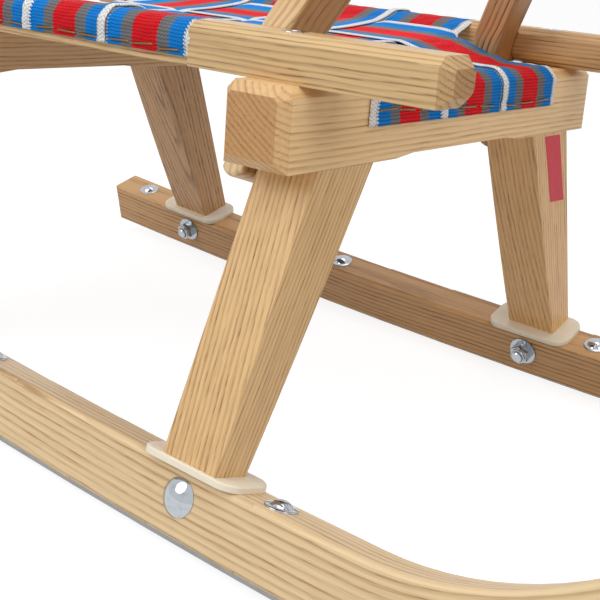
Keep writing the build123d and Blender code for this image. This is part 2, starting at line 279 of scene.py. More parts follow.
def makeBarGroup():
    # Gives coordinates along the bar: x along it, y outwards from the concave face, z across
    line = bentLine
    tree, s, given, out = newGroup("bentBar", [("Side view", "vector")], [("Grain", "vector")])
    x, y, z = s.split(given["Side view"])

    def polar(centre):
        dx = s.minus(x, centre[0])
        dy = s.minus(y, centre[1])
        return dx, dy, s.maths("SQRT", s.plus(s.times(dx, dx), s.times(dy, dy)))

    def towards(angle):
        return s.plus(s.times(dx, math.cos(angle)), s.times(dy, math.sin(angle)))

    _, _, far = polar(line["rocker"])
    rocker = s.join(x, s.minus(far, line["top"]), z)
    dx, dy, far = polar(line["nose"])
    heading = s.maths("ARCTAN2", dx, s.times(dy, -1.0))
    nose = s.join(
        s.timesPlus(heading, line["noseRadius"], line["start"]),
        s.minus(far, line["noseRadius"]), z)
    end = math.radians(line["noseEnd"])
    beyondNose = towards(end)
    noseLength = line["start"] + line["noseRadius"] * end
    dx, dy, far = polar(line["crown"])
    # Turned so that the angle has no jump inside the crown
    middle = end + line["crownTurn"]
    quarter = math.pi / 2
    heading = s.plus(s.maths("ARCTAN2", towards(middle), towards(middle - quarter)), middle - end)
    crown = s.join(
        s.timesPlus(heading, line["crownRadius"], noseLength),
        s.minus(far, line["crownRadius"]), z)
    last = math.radians(line["crownEnd"])
    straightOn, aside = towards(last), towards(last - quarter)
    crownLength = noseLength + line["crownRadius"] * (last - end)
    straight = s.join(s.plus(straightOn, crownLength), s.minus(aside, line["crownRadius"]), z)
    fromTail = s.minus(crownLength + line["tailReach"], y)
    upright = s.join(fromTail, s.minus(line["tailFace"], x), z)
    blend = s.between(y, *(line["tail"] + step for step in line["tailBlend"]))
    bent = s.mixVector(blend, upright, straight)
    bent = s.mixVector(s.maths("LESS_THAN", straightOn, 0.0), bent, crown)
    ahead = s.maths("GREATER_THAN", x, line["foremost"])
    front = s.times(s.maths("LESS_THAN", beyondNose, 0.0), ahead)
    bent = s.mixVector(front, bent, nose)
    low = s.times(s.maths("LESS_THAN", y, line["low"]), s.maths("LESS_THAN", x, line["start"]))
    s.feed(out, {"Grain": s.mixVector(low, bent, rocker)})
    return tree


weave = {
    "yarn": 0.00128, "rib": 0.0019,  # metres from one to the next
    "zigzag": 0.34, "wobble": 0.9, "wobbleSize": (120, 60, 1),
    "ribShape": 0.6, "strandShape": 0.5, "ribShare": 0.65,
    "looseShare": 0.25,  # relief that is left where the cloth is not pulled together
    # shade and light: the cloth's colour is painted darker in the grooves between ribs and yarns, a painted shade
    "shade": -1.05, "light": 1.08, "bleed": 0.0006,
}


def makeWeaveGroup():
    tree, s, given, out = newGroup(
        "webbingWeave", [("Cloth", "vector"), ("Tension", "value")],
        [("Height", "value"), ("Shade", "value"), ("Shift", "value")])
    w = weave
    u, v, _ = s.split(given["Cloth"])
    wobble = s.noise(s.scaled(given["Cloth"], *w["wobbleSize"]), detail=2.0).outputs[0]
    yarn = s.maths("DIVIDE", u, w["yarn"])
    zigzag = s.maths("PINGPONG", yarn, 1.0)
    phase = s.plus(s.maths("DIVIDE", v, w["rib"]), s.times(zigzag, w["zigzag"]))
    phase = s.timesPlus(wobble, w["wobble"], phase)
    rib = s.maths("ABSOLUTE", s.maths("SINE", s.times(phase, math.pi)))
    rib = s.times(s.maths("POWER", rib, w["ribShape"]), w["ribShare"])
    strand = s.maths("ABSOLUTE", s.maths("SINE", s.times(yarn, math.pi)))
    height = s.timesPlus(s.maths("POWER", strand, w["strandShape"]), 1 - w["ribShare"], rib)
    strength = s.timesPlus(given["Tension"], 1 - w["looseShare"], w["looseShare"])
    # Painted shade: the lower the cloth, the darker its colour
    shade = s.times(s.minus(1.0, height), strength)
    s.feed(out, {
        "Height": s.times(height, strength),
        "Shade": s.timesPlus(shade, w["shade"], w["light"]),
        "Shift": s.times(s.maths("SINE", s.times(phase, 2 * math.pi)), w["bleed"]),
    })
    return tree


marksLook = {"detail": 4.0, "roughness": 0.6, "scratchSize": (6, 30, 6), "scratchEdge": (0.55, 0.75)}


def makeSpeckleGroup():
    tree, s, given, out = newGroup(
        "fineMarks", [("Spot", "vector"), ("Scale", "value")], [("Patches", "value"), ("Scratches", "value")])
    m = marksLook
    spot = s.grown(given["Spot"], given["Scale"])
    fine = s.noise(s.scaled(spot, *m["scratchSize"]), detail=2.0).outputs[0]
    s.feed(out, {
        "Patches": s.noise(spot, detail=m["detail"], roughness=m["roughness"]).outputs[0],
        "Scratches": s.between(fine, *m["scratchEdge"]),
    })
    return tree


ashGroup = makeAshGroup()
barGroup = makeBarGroup()
weaveGroup = makeWeaveGroup()
speckleGroup = makeSpeckleGroup()


# Wood
ash = {
    "beam": (paint(248, 210, 154), paint(190, 138, 80)),
    "rail": (paint(224, 188, 134), paint(104, 64, 28)),
    # The far rail, far legs and far runner take darker, browner copies of the near tones: painted shade on the far
    # side
    "railFarShaded": (paint(218, 174, 120), paint(104, 64, 30)),
    "leg": (paint(236, 196, 138), paint(140, 84, 32)),
    "legFarShaded": (paint(242, 194, 132), paint(134, 84, 42)),
    "legFarRearShaded": (paint(222, 174, 120), paint(94, 56, 30)),
    "runner": (paint(238, 209, 163), paint(182, 142, 94)),
    "runnerFar": (paint(216, 168, 112), paint(110, 68, 34)),
    # Painted highlight: the eased edges are painted lighter, where their rounding catches the light
    "paintedEdgeLight": paint(236, 206, 160), "edgeLightTurn": (0.995, 0.86), "edgeLightShare": 0.22,
    # Painted shade on the near runner's horn, darkening from the first height to the second
    "paintedHornShade": paint(238, 208, 172), "hornStart": (0.25, 0.30),
    "endTurn": (0.55, 0.9),  # how squarely a face looks along the grain before it counts as end grain
    "edge": 0.0009,  # radius at which the sharp edges are eased
    "relief": 0.00012,
}


def ashMaterial(name, tone, along, across, centre, cut, seed, bent=False):
    material, s, shader = newMaterial(name, Coat_Weight=0.12, Coat_Roughness=0.28, Specular_IOR_Level=0.42)
    along, across = Vector(along).normalized(), Vector(across)
    across = (across - along * across.dot(along)).normalized()
    axes = Matrix([along, across, along.cross(across)])
    coordinates = s.add("ShaderNodeTexCoord").outputs
    fibre = s.add("ShaderNodeMapping", {
        "Vector": coordinates["Object"], "Rotation": axes.to_euler(), "Location": axes @ -Vector(centre)}).outputs[0]
    if bent:
        fibre = s.group(barGroup, {"Side view": fibre})["Grain"]
    facing = s.maths("ABSOLUTE", s.vector("DOT_PRODUCT", coordinates["Normal"], tuple(along)))
    eased = s.add("ShaderNodeBevel", {"Radius": ash["edge"]}, samples=4).outputs[0]
    flat = s.add("ShaderNodeNewGeometry").outputs["Normal"]
    # Painted highlight: lighter colour where the eased normal turns away from the face's own
    paintedEdgeLight = s.between(s.vector("DOT_PRODUCT", eased, flat), *ash["edgeLightTurn"])
    light, dark = ash[tone]
    look = s.group(ashGroup, {
        "Grain": fibre, "Pith": cut["pith"], "Pitch": cut["pitch"], "Seed": seed, "Drift": cut["drift"],
        "Light": light, "Dark": dark, "End face": s.between(facing, *ash["endTurn"])})
    colour = s.mix(s.times(paintedEdgeLight, ash["edgeLightShare"]), look["Color"], ash["paintedEdgeLight"])
    # Painted shade: the near runner's colour is darkened above about 0.25 to 0.30 m, over its horn
    if tone == "runner":
        height = s.split(coordinates["Object"])[2]
        shaded = s.mix(1.0, colour, ash["paintedHornShade"], "MULTIPLY")
        colour = s.mix(s.between(height, *ash["hornStart"]), colour, shaded)
    relief = s.bump(0.7, ash["relief"], look["Height"], Normal=eased)
    s.feed(shader.inputs, {"Base Color": colour, "Roughness": look["Roughness"], "Normal": relief})
    return material


def dress(node, material):
    mesh = nodes[node].data
    mesh.materials.clear()
    mesh.materials.append(material)


# How each bar is cut from its plank: where the pith lies beside it, the width of a year and how the rings drift
cuts = {
    "beam": {"pith": (0, 0.085, -0.125), "pitch": 0.0030, "drift": 0.010},
    "rail": {"pith": (0, -0.016, -0.044), "pitch": 0.0027, "drift": 0.018},
    "legFront": {"pith": (0, 0.075, 0.090), "pitch": 0.0025, "drift": 0.004, "slope": (0, 0.44, -1.0)},
    "legRear": {"pith": (0, 0.014, 0.020), "pitch": 0.0036, "drift": 0.022, "slope": (0.06, 0.40, -1.0)},
    "runnerNear": {"pith": (0, -0.045, 0.034), "pitch": 0.0038, "drift": 0.022},
    "runnerFar": {"pith": (0, -0.045, 0.022), "pitch": 0.0038, "drift": 0.022},
}
woodSeeds = {"beam_front": 3.1, "beam_rear": 8.7, "rail": 5.3, "leg_front": 1.7, "leg_rear": 6.4, "runner": 2.2}
runnerCorner = (0, 201.5, -191.9)  # the floor line of a runner's outer face, below the front beam's face


def middleOf(node):
    low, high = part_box(node)
    return (low + high) / 2


def dressWood():
    forward, sideways = turn(1, 0, 0), Vector((0, 1, 0))
    for end in ("front", "rear"):
        node = f"cross_beam_{end}"
        seed = woodSeeds[f"beam_{end}"]
        dress(node, ashMaterial(f"ashBeam_{end}", "beam", sideways, forward, middleOf(node), cuts["beam"], seed))
    for side, way in sides.items():
        near = way < 0
        # Far pieces take the darker tones, painted shade for the far side
        node, tone = f"side_rail_{side}", "rail" if near else "railFarShaded"
        seed = woodSeeds["rail"] + way
        dress(node, ashMaterial(f"ashRail_{side}", tone, forward, sideways * way, middleOf(node), cuts["rail"], seed))
        for end in ("front", "rear"):
            node, cut = f"leg_{end}_{side}", cuts["legFront" if end == "front" else "legRear"]
            tone = "leg" if near else "legFarShaded" if end == "front" else "legFarRearShaded"
            x, y, z = cut["slope"]
            down, seed = turn(x, way * y, z), woodSeeds[f"leg_{end}"] + way
            dress(node, ashMaterial(f"ashLeg_{end}_{side}", tone, down, forward, middleOf(node), cut, seed))
        # The runner's side view is turned into its own leaning plane
        rise = turn(0, -way * math.sin(lean), math.cos(lean))
        x, y, z = runnerCorner
        # The far runner's darker tone is painted shade; its cut is its own
        tone, cut = ("runner", cuts["runnerNear"]) if near else ("runnerFar", cuts["runnerFar"])
        seed = woodSeeds["runner"] + way
        dress(f"runner_{side}", ashMaterial(
            f"ashRunner_{side}", tone, forward, rise, place(x, way * y, z), cut, seed, bent=True))


dressWood()
print("wood done")


# Metal and plastic
metal = {
    "bright": paint(182, 188, 194), "brightRough": 0.08,
    "zinc": paint(176, 182, 188), "zincRough": 0.20,
    "steel": paint(150, 150, 150), "steelRough": 0.34,
    "bronze": paint(128, 100, 60), "bronzeRough": 0.22,
    "dull": paint(236, 236, 236), "dullEdge": (0.45, 0.8), "relief": 0.00002,
}
cream = {"light": paint(250, 242, 222), "dark": paint(242, 230, 206), "edge": 0.0007, "relief": 0.00005,
         "glow": 0.08, "glowReach": (0.004, 0.003, 0.002), "marks": 220.0, "rough": 0.36, "spread": 0.16}


def metalMaterial(name, colour, rough, scale, spread):
    material, s, shader = newMaterial(name, Metallic=1.0)
    marks = s.marks(scale)
    dull = s.mix(1.0, metal[colour], metal["dull"], "MULTIPLY")
    level = s.timesPlus(marks["Patches"], spread, metal[rough] - spread / 2)
    s.feed(shader.inputs, {
        "Base Color": s.mix(s.between(marks["Patches"], *metal["dullEdge"]), metal[colour], dull),
        "Roughness": s.timesPlus(marks["Scratches"], spread, level),
        "Normal": s.bump(0.12, metal["relief"], marks["Patches"]),
    })
    return material


def creamMaterial():
    material, s, shader = newMaterial(
        "creamPlastic", Specular_IOR_Level=0.45,
        Subsurface_Weight=cream["glow"], Subsurface_Radius=cream["glowReach"])
    patches = s.marks(cream["marks"])["Patches"]
    eased = s.add("ShaderNodeBevel", {"Radius": cream["edge"]}, samples=4).outputs[0]
    s.feed(shader.inputs, {
        "Base Color": s.mix(patches, cream["light"], cream["dark"]),
        "Roughness": s.timesPlus(patches, cream["spread"], cream["rough"]),
        "Normal": s.bump(0.3, cream["relief"], patches, Normal=eased),
    })
    return material


brightMetal = metalMaterial("polishedZinc", "bright", "brightRough", 300.0, 0.06)
zincMetal = metalMaterial("platedZinc", "zinc", "zincRough", 500.0, 0.12)
steelMetal = metalMaterial("runnerSteel", "steel", "steelRough", 90.0, 0.20)
bronzeMetal = metalMaterial("stapleWire", "bronze", "bronzeRough", 800.0, 0.15)
creamPlastic = creamMaterial()
for side in sides:
    dress(f"runner_strip_{side}", steelMetal)
    dress(f"horn_bolt_{side}", zincMetal)
    for end in ("front", "rear"):
        dress(f"foot_plate_{end}_{side}", creamPlastic)
        dress(f"washer_{end}_{side}", zincMetal)
print("metal and plastic done")


def meshObject(bm, name, material):
    mesh = bpy.data.meshes.new(name)
    bm.to_mesh(mesh)
    bm.free()
    mesh.materials.append(material)
    return addObject(name, mesh)


def finishPiece(bm, name, material, smoothShade=True):
    piece = meshObject(bm, name, material)
    for polygon in piece.data.polygons:
        polygon.use_smooth = smoothShade
    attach(piece, "root")
    return piece


# Webbing seat
webbing = {
    "width": 72.0, "cord": 6.0, "thick": 1.7, "cordThick": 1.9, "pitch": 66.0, "step": 1.3, "cordStep": 0.9,
    "crossFirst": -113.0, "crossCount": 4, "longCentre": 5.5, "longCount": 3,
    "gap": 0.3,  # air between cloth and wood
    "middleLevel": 50.0,  # height of the seat's middle
    "sideLift": 7.2,  # the seat rises this much towards the outer straps
    "sideReach": 107.0,
    "overUnder": 1.05,  # half the height between two crossing straps
    "edgeCurl": 1.25,  # the edges stand this much further off at a crossing
    "pinch": 3.0,  # each edge draws in by this much between crossings
    "flat": 20.0, "slope": 26.0,  # how far a crossing stays flat, and the way from one level to the next
    "curlFrom": 22.0, "curlOver": 14.0,
    "stapleLine": {"long": 5.0, "cross": 2.8}, "dent": 0.45, "dentReach": 1.6,
    "hemLift": 2.1, "hemFrom": 26.0, "hemOver": 7.0,  # an edge that lies on its neighbour's
    "crossedReach": 6.0, "crossedBlend": 20.0,  # where the woven part ends and the hem begins
    "settle": 25.0,  # a lengthwise strap comes down to the rear beam over this length
    "bowl": 2.4,  # power of the seat's curve from side to side
    "eased": 6.0,  # bends are rounded off over about this length
    "fadeSize": (40, 25, 1), "fade": (0.88, 1.06), "rough": 0.72, "ribShine": -0.15, "relief": 0.0005,
    "columns": 32, "overlap": 0.9,  # of cloth, and how far it reaches under its edge cord
    "blue": paint(0, 134, 226), "grey": paint(124, 124, 126), "red": paint(240, 18, 32),
    # braidShade: painted shade between the braid's strands
    "white": paint(248, 248, 246), "braidShade": paint(186, 184, 180),
}
# Uneven waves in the hems, in radians a millimetre
rumple = {"along": 0.55, "across": 0.21, "broad": 0.16, "shift": 2.1, "height": 0.27}
# Colour bands across the cloth, each with the millimetre at which it starts
bands = [("white", 0), ("blue", 6.4), ("grey", 17.7), ("red", 26.3), ("grey", 45.7), ("blue", 54.3), ("white", 65.6)]
wood = {"beamDepth": 42.2, "beamTop": 42.0, "lip": 5.0, "spacing": 351.6, "hem": 19.5,
        "railOuter": 148.3, "railTop": 65.9, "railChamfer": 4.8, "rebate": 2.1, "railInner": 120.4, "railHem": 46.5}
# The horns' feet: how far out the cloth may lie there, and from where to where
hornFoot = {"limit": 95.5, "fold": 1.6, "rear": -79, "rearBlend": 16, "front": -26, "frontBlend": 13,
            "outermost": 100, "liftFrom": 60, "liftOver": 25}
crossMiddles = [webbing["crossFirst"] - i * webbing["pitch"] for i in range(webbing["crossCount"])]
longMiddles = [webbing["longCentre"] + (i - 1) * webbing["pitch"] for i in range(webbing["longCount"])]
halfWidth = webbing["width"] / 2
skin = webbing["gap"] + webbing["thick"] / 2


def seatLevel(y):
    a, reach = np.abs(y), webbing["sideReach"]
    curve = webbing["middleLevel"] + webbing["sideLift"] * (np.minimum(a, reach) / reach) ** webbing["bowl"]
    rim = wood["railInner"] + wood["railChamfer"]
    top = wood["railTop"] - wood["rebate"] + skin
    t = np.clip((a - reach) / (rim - reach), 0, 1)
    return curve + (top - webbing["middleLevel"] - webbing["sideLift"]) * t


def crossingState(spot, middles, signs):
    total = np.zeros_like(spot)
    for middle, sign in zip(middles, signs):
        total += sign * (1 - smooth((np.abs(spot - middle) - webbing["flat"]) / webbing["slope"]))
    return total


def spaced(points, step):
    points = np.array(points, float)
    lengths = np.linalg.norm(np.diff(points, axis=0), axis=1)
    run = np.concatenate([[0], np.cumsum(lengths)])
    count = int(round(run[-1] / step))
    at = np.linspace(0, run[-1], count + 1)
    return np.stack([np.interp(at, run, points[:, k]) for k in range(points.shape[1])], axis=1), at


class Strap:
    def __init__(self, kind, index):
        self.kind, self.index = kind, index
        self.long = kind == "long"
        lap = skin * (math.sqrt(2) - 1)
        if self.long:
            self.centre, self.middles = longMiddles[index], crossMiddles
            face, hem, level, lip = 0.0, wood["hem"], wood["beamTop"], wood["lip"]
            inner = -wood["beamDepth"]
            mirrorLine = -wood["spacing"] - wood["beamDepth"]
            self.ends = (crossMiddles[0] + halfWidth, crossMiddles[-1] - halfWidth)
        else:
            self.centre, self.middles = crossMiddles[index], longMiddles[::-1]
            face, hem, level, lip = wood["railOuter"], wood["railHem"], wood["railTop"], wood["railChamfer"]
            face, level = face - wood["rebate"], level - wood["rebate"]
            inner = wood["railInner"] + lip
            mirrorLine = 0.0
            self.ends = (longMiddles[-1] + halfWidth, longMiddles[0] - halfWidth)
        offset = index if self.long else len(longMiddles) + index
        self.signs = [1 if (offset + k) % 2 == 0 else -1 for k in range(len(self.middles))]
        start = [(face + skin, hem), (face + skin, level - lip + lap),
                 (face - lip + lap, level + skin), (inner, level + skin)]
        self.line = start + [(mirrorLine - a, b) for a, b in reversed(start)]
        count = len(longMiddles) if self.long else len(crossMiddles)
        # u grows towards +Y on a lengthwise strap and towards +X on a crosswise one
        self.neighbour = (index < count - 1, index > 0) if self.long else (index > 0, index < count - 1)

    def column(self, u, step, proud=None):
        # One line of points along the strap, u millimetres from its middle
        w = webbing
        base, at = spaced(self.line, step)
        first, last = self.line[3][0], self.line[4][0]
        along, z = base[:, 0].copy(), base[:, 1].copy()
        inMiddle = (along < first + 0.01) & (along > last - 0.01) & (z > self.line[3][1] - 0.01)
        state = crossingState(along, self.middles, self.signs) * inMiddle
        start, stop = self.ends
        within = smooth((start + w["crossedReach"] - along) / w["crossedBlend"])
        within = within * smooth((along - stop + w["crossedReach"]) / w["crossedBlend"]) * inMiddle
        pinch = within * np.clip(1 - np.abs(state), 0, 1) * w["pinch"]
        aside = self.centre + u * (1 - pinch / halfWidth)
        if self.long:
            up = np.clip((first - along) / (first - start), 0, 1)
            down = np.clip((along - stop + w["settle"]) / w["settle"], 0, 1)
            z = z + (seatLevel(aside) - z) * np.minimum(up, down) * inMiddle
        else:
            z = np.where(inMiddle, seatLevel(along), z)
        path = np.stack([along, z], axis=1)
        for _ in range(int(w["eased"] / step)):
            path[1:-1] = path[1:-1] * 0.5 + (path[:-2] + path[2:]) * 0.25
        slope = np.gradient(path, axis=0)
        slope /= np.linalg.norm(slope, axis=1)[:, None]
        normal = np.stack([slope[:, 1], -slope[:, 0]], axis=1)
        away = state * (w["overUnder"] + w["edgeCurl"] * float(smooth((abs(u) - w["curlFrom"]) / w["curlOver"])))
        # On the hems an edge lies on its neighbour's where the strap is the upper one
        hem = 1 - within
        if self.neighbour[0] if u > 0 else self.neighbour[1]:
            isUpper = np.where(along > (start + stop) / 2, self.signs[0] > 0, self.signs[-1] > 0)
            away = away + hem * isUpper * w["hemLift"] * float(smooth((abs(u) - w["hemFrom"]) / w["hemOver"]))
        away = away + self.waves(at, u) * hem
        line = w["stapleLine"][self.kind]
        for end in (at - line, at[-1] - line - at):
            away = away - w["dent"] * np.exp(-(end / w["dentReach"]) ** 2)
        if proud is not None:
            away = away + proud(at)
        path = path + normal * away[:, None]
        if self.long:
            return self.tuck(np.stack([path[:, 0], aside, path[:, 1]], axis=1)), at, hem
        return np.stack([aside, path[:, 0], path[:, 1]], axis=1), at, hem

    def waves(self, at, u):
        fine = np.sin(at * rumple["along"] + u * rumple["across"] + self.index * rumple["shift"])
        return fine * np.sin(u * rumple["broad"] + self.index) * rumple["height"]

    def tuck(self, points):
        # Beside the horns' feet an outer edge folds under, so that it keeps clear of them
        limit, fold = hornFoot["limit"], hornFoot["fold"]
        x, y, z = points.T
        near = smooth((x - hornFoot["rear"]) / hornFoot["rearBlend"])
        near = near * smooth((hornFoot["front"] - x) / hornFoot["frontBlend"])
        over = np.maximum(np.abs(y) - (limit - fold), 0)
        bend = math.pi * fold
        angle = np.minimum(over, bend) / fold
        inwards = limit - fold + fold * np.sin(angle) - np.maximum(over - bend, 0)
        down = -fold * (1 - np.cos(angle))
        moved = points.copy()
        if abs(self.centre) + halfWidth > hornFoot["outermost"]:
            moved[:, 1] = np.where(over > 0, np.sign(y) * (inwards * near + np.abs(y) * (1 - near)), y)
            lift = 2 * fold * smooth((np.abs(y) - hornFoot["liftFrom"]) / hornFoot["liftOver"]) * (self.centre > 0)
            moved[:, 2] = z + near * (down + lift)
        return moved


def stripGrid(columns):
    # A grid whose columns follow the given lines of points, with each vert's column and row
    across, rows = len(columns), len(columns[0])
    bm = bmesh.new()
    bmesh.ops.create_grid(bm, x_segments=across - 1, y_segments=rows - 1, size=1)
    bm.verts.ensure_lookup_table()
    spots = {}
    for vert in bm.verts:
        i = round((vert.co.x + 1) / 2 * (across - 1))
        j = round((vert.co.y + 1) / 2 * (rows - 1))
        spots[vert.index] = (i, j)
        vert.co = place(*columns[i][j])
    return bm, spots


def clothUv(bm, spots, across, along, tension=None):
    layer = bm.loops.layers.uv.new("cloth")
    for face in bm.faces:
        for loop in face.loops:
            i, j = spots[loop.vert.index]
            loop[layer].uv = (across[i] * mm, along[j] * mm)
    if tension is not None:
        tight = bm.verts.layers.float.new("tension")
        for vert in bm.verts:
            vert[tight] = float(tension[spots[vert.index][1]])


def webbingMaterial():
    material, s, shader = newMaterial(
        "stripedWebbing", Sheen_Weight=0.02, Sheen_Roughness=0.5, Specular_IOR_Level=0.10)
    cloth = s.add("ShaderNodeUVMap", uv_map="cloth").outputs[0]
    tension = s.add("ShaderNodeAttribute", attribute_name="tension").outputs["Fac"]
    woven = s.group(weaveGroup, {"Cloth": cloth, "Tension": tension})
    share = s.maths("DIVIDE", s.plus(s.split(cloth)[0], woven["Shift"]), webbing["width"] * mm)
    colour = s.ramp(share, [(start / webbing["width"], webbing[name]) for name, start in bands], "CONSTANT")
    fade = s.noise(s.scaled(cloth, *webbing["fadeSize"]), detail=3.0).outputs[0]
    # The weave's painted groove shade, scaled by the slow fade
    shade = s.times(woven["Shade"], s.between(fade, 0.2, 0.8, *webbing["fade"]))
    s.feed(shader.inputs, {
        "Base Color": s.grown(colour, shade),
        "Roughness": s.timesPlus(woven["Height"], webbing["ribShine"], webbing["rough"]),
        "Normal": s.bump(0.9, webbing["relief"], woven["Height"]),
    })
    return material


braid = {"slant": 0.0016, "strand": 0.0021, "thread": 0.0008, "threadShare": 0.18, "relief": 0.0005,
         "rough": 0.75, "strandShine": -0.1, "bulge": 0.16, "sunk": 0.2, "lag": 0.9, "endRound": 1.5, "corners": 17}


def cordMaterial():
    material, s, shader = newMaterial("whiteBraid", Sheen_Weight=0.05, Specular_IOR_Level=0.2)
    u, v, _ = s.split(s.add("ShaderNodeUVMap", uv_map="cloth").outputs[0])
    slant = s.maths("PINGPONG", u, braid["slant"])
    phase = s.maths("DIVIDE", s.plus(v, slant), braid["strand"])
    chevron = s.maths("ABSOLUTE", s.maths("SINE", s.times(phase, math.pi)))
    threads = s.times(s.minus(v, slant), math.pi / braid["thread"])
    threads = s.maths("ABSOLUTE", s.maths("SINE", threads))
    height = s.timesPlus(threads, braid["threadShare"], chevron)
    s.feed(shader.inputs, {
        # Painted shade: the braid is darker grey between its strands
        "Base Color": s.mix(s.between(chevron, 0.0, 0.5), webbing["braidShade"], webbing["white"]),
        "Roughness": s.timesPlus(chevron, braid["strandShine"], braid["rough"]),
        "Normal": s.bump(0.8, braid["relief"], height),
    })
    return material


stripedWebbing = webbingMaterial()
whiteBraid = cordMaterial()


def edgeCord(strap, way, name):
    # A flattened tube round the strap's edge, swollen where the braid's strands cross
    middle, half = way * (halfWidth - webbing["cord"] / 2), webbing["cord"] / 2
    angles = np.linspace(0, 2 * math.pi, braid["corners"])
    tube = []
    for angle in angles:
        aside = math.cos(angle)

        def proud(run, angle=angle, aside=aside):
            ends = np.minimum(1, np.minimum(run, run[-1] - run) / braid["endRound"]) ** 0.5
            phase = run / (braid["strand"] / mm) + abs(aside) * braid["lag"]
            swell = braid["bulge"] * np.abs(np.sin(math.pi * phase))
            return (webbing["cordThick"] / 2 - braid["sunk"] + swell) * math.sin(angle) * ends

        tube.append(strap.column(middle + half * aside, webbing["cordStep"], proud)[0])
    bm, spots = stripGrid(tube)
    clothUv(bm, spots, half * (1 + np.abs(np.cos(angles))), spaced(strap.line, webbing["cordStep"])[1])
    bmesh.ops.remove_doubles(bm, verts=bm.verts, dist=0.00002)
    bmesh.ops.holes_fill(bm, edges=[e for e in bm.edges if e.is_boundary], sides=40)
    bmesh.ops.recalc_face_normals(bm, faces=bm.faces)
    return finishPiece(bm, name, whiteBraid)


def makeStrap(strap, name, node):
    inner = halfWidth - webbing["cord"] + webbing["overlap"]
    across = np.linspace(-inner, inner, webbing["columns"])
    made = [strap.column(u, webbing["step"]) for u in across]
    _, at, hem = made[0]
    bm, spots = stripGrid([column[0] for column in made])
    clothUv(bm, spots, across + halfWidth, at, hem)
    piece = finishPiece(bm, name, stripedWebbing)
    shell = piece.modifiers.new("cloth", "SOLIDIFY")
    shell.thickness = webbing["thick"] * mm
    shell.offset = 0
    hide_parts(node)
    cords = [edgeCord(strap, way, f"{name}_edge_{word}") for way, word in ((1, "b"), (-1, "a"))]


for index in range(webbing["longCount"]):
    makeStrap(Strap("long", index), f"webbing_long_{index + 1}", f"long_strap_{index + 1}")
for index in range(webbing["crossCount"]):
    makeStrap(Strap("cross", index), f"webbing_cross_{index + 1}", f"cross_strap_{index + 1}")
print("webbing done")


# Staples
staple = {"length": 14.8, "wire": 1.25, "corner": 0.9, "depth": 2.2, "pitch": 21.5, "uneven": 0.8, "tilt": 4}
stapleSpots = {
    "railSeen": [-94.4, -113.9, -132.5, -156.8, -176.6, -195.8, -221.6], "railFurther": 5, "railLevel": 49.2,
    "across": [-81.0, -63.6, -42.0, -22.5, -0.5, 20.5, 48.3, 69.0, 90.0],
    "frontLevels": [27.9, 26.8, 26.0, 25.2, 24.6, 23.9, 22.9, 23.4, 24.0], "rearLevel": 24.5,
    "stray": 3, "railStray": 0.5, "rearStray": 1,
}


def onlyOf(kind, made):
    return [g for g in made if isinstance(g, kind)]


def addStaple(bm, matrix, length):
    # One leg up, the crown across, one leg down; it is drawn in its own frame and then placed
    before = set(bm.verts)
    verts = bmesh.ops.create_circle(bm, segments=8, radius=staple["wire"] / 2)["verts"]
    ring = [e for e in bm.edges if all(v in verts for v in e.verts)]
    half, r = length / 2, staple["corner"]
    bmesh.ops.translate(bm, verts=verts, vec=(-half, 0, -staple["depth"]))

    def extend(edges, offset):
        new = bmesh.ops.extrude_edge_only(bm, edges=edges)["geom"]
        newVerts = onlyOf(bmesh.types.BMVert, new)
        bmesh.ops.translate(bm, verts=newVerts, vec=offset)
        return [e for e in onlyOf(bmesh.types.BMEdge, new) if all(v in newVerts for v in e.verts)]

    def corner(edges, centre):
        new = bmesh.ops.spin(
            bm, geom=edges, cent=centre, axis=(0, 1, 0), angle=math.radians(90), steps=4, use_merge=False)
        return onlyOf(bmesh.types.BMEdge, new["geom_last"])

    ring = extend(ring, (0, 0, staple["depth"] - r))
    ring = corner(ring, (-half + r, 0, -r))
    ring = extend(ring, (length - 2 * r, 0, 0))
    ring = corner(ring, (half - r, 0, -r))
    extend(ring, (0, 0, -(staple["depth"] - r)))
    bmesh.ops.transform(bm, matrix=matrix, verts=[v for v in bm.verts if v not in before])


def stapleRow(name, spots, axes):
    bm = bmesh.new()
    dice = random.Random(name)
    for spot in spots:
        tilt = Matrix.Rotation(math.radians(dice.uniform(-staple["tilt"], staple["tilt"])), 3, "Z")
        length = staple["length"] + dice.uniform(-staple["uneven"], staple["uneven"])
        toSeat = (Matrix(axes).transposed() @ tilt).to_4x4()
        toSeat.translation = Vector(spot)
        addStaple(bm, Matrix.Scale(mm, 4) @ seatToRow @ toSeat, length)
    bmesh.ops.holes_fill(bm, edges=[e for e in bm.edges if e.is_boundary], sides=12)
    bmesh.ops.recalc_face_normals(bm, faces=bm.faces)
    finishPiece(bm, name, bronzeMetal)


def makeStaples():
    m = stapleSpots
    surface = webbing["gap"] + webbing["thick"] + 0.1
    railFace = wood["railOuter"] - wood["rebate"] + surface
    dice = random.Random("staples")

    def stray(name):
        return dice.uniform(-m[name], m[name])

    further = [m["railSeen"][-1] - staple["pitch"] * (i + 1) for i in range(m["railFurther"])]
    for side, way in sides.items():
        xs = [x + (0 if way < 0 else stray("stray")) for x in m["railSeen"] + further]
        spots = [(x, way * railFace, m["railLevel"] + stray("railStray")) for x in xs]
        stapleRow(f"staples_rail_{side}", spots, [(-way, 0, 0), (0, 0, 1), (0, way, 0)])
    spots = [(surface, y, z) for y, z in zip(m["across"], m["frontLevels"])]
    stapleRow("staples_beam_front", spots, [(0, 1, 0), (0, 0, 1), (1, 0, 0)])
    back = -wood["spacing"] - wood["beamDepth"] - surface
    spots = [(back, y + stray("stray"), m["rearLevel"] + stray("rearStray")) for y in m["across"]]
    stapleRow("staples_beam_rear", spots, [(0, -1, 0), (0, 0, 1), (-1, 0, 0)])


makeStaples()
print("staples done")


